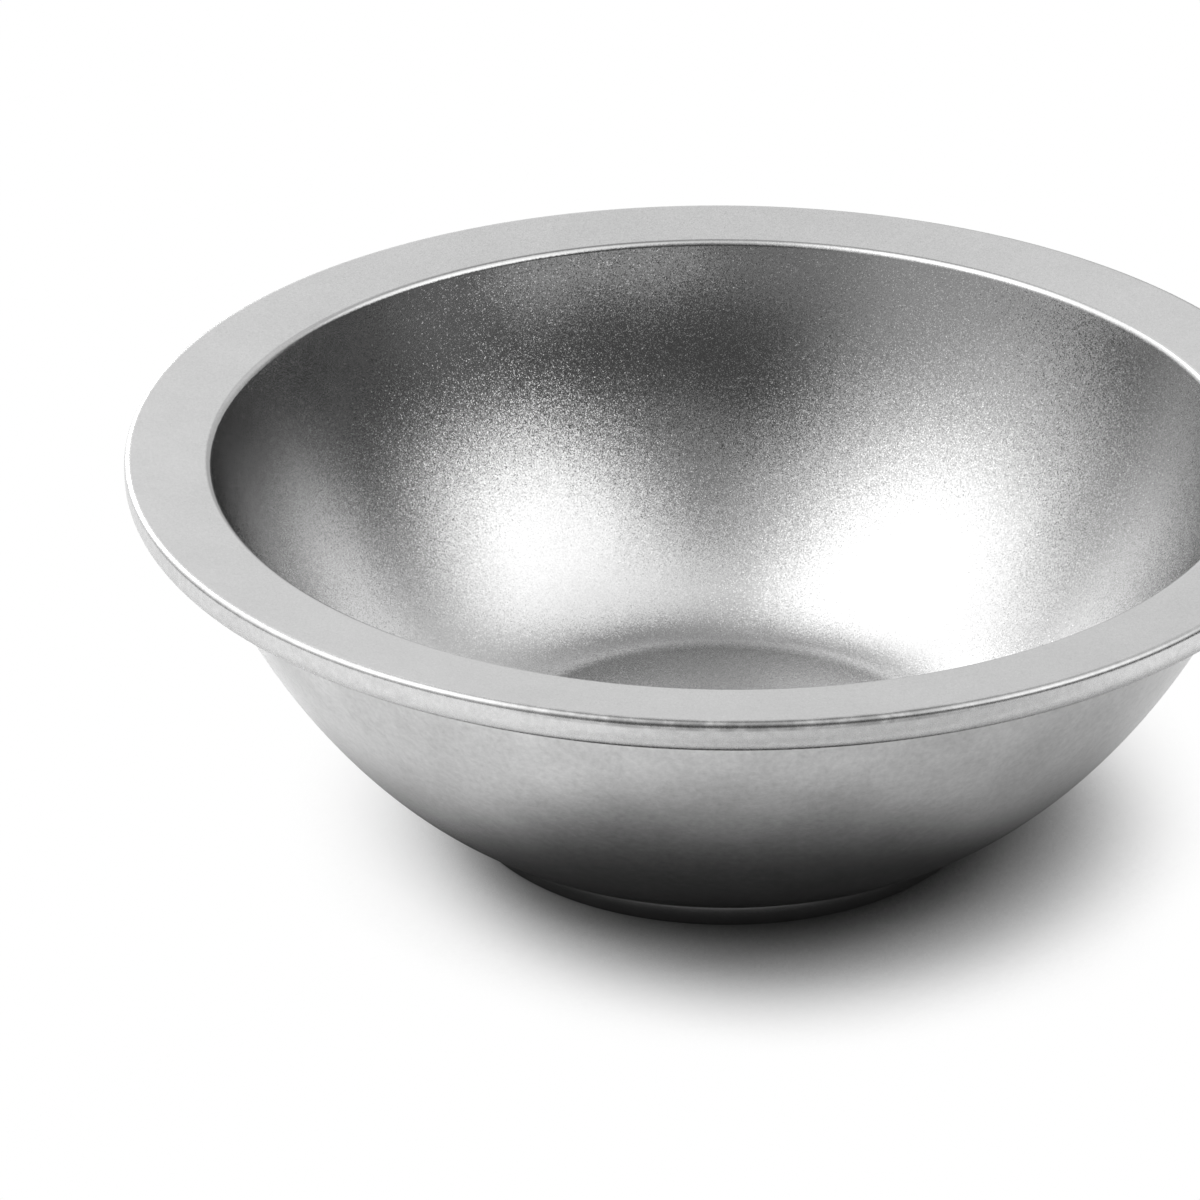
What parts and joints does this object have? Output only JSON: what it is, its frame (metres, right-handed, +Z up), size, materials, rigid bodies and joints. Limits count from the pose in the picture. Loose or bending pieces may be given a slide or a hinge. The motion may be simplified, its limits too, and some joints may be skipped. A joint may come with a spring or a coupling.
{
  "type": "steel bowl",
  "caption": "Round double-walled steel bowl with a wide flat rim, a rolled edge and a low foot ring, for serving or holding food.",
  "frame": {"origin": "on the bowl's axis, in the plane that the foot ring stands on", "axes": "+Z up along the bowl's axis; the bowl is round, so X and Y are free"},
  "size_m": [0.24, 0.24, 0.081],
  "materials": {
    "tumbled_steel_inside": "tumbled satin with fine random scratches",
    "tumbled_steel_outside": "tumbled satin with a soft mottling",
    "turned_steel": "turned satin",
    "plain_steel": "plain satin"
  },
  "bodies": {
    "root": {"inner_bowl": "tumbled_steel_inside", "outer_shell": "tumbled_steel_outside", "foot_ring": "turned_steel", "base_disc": "plain_steel"}
  },
  "joints": []
}
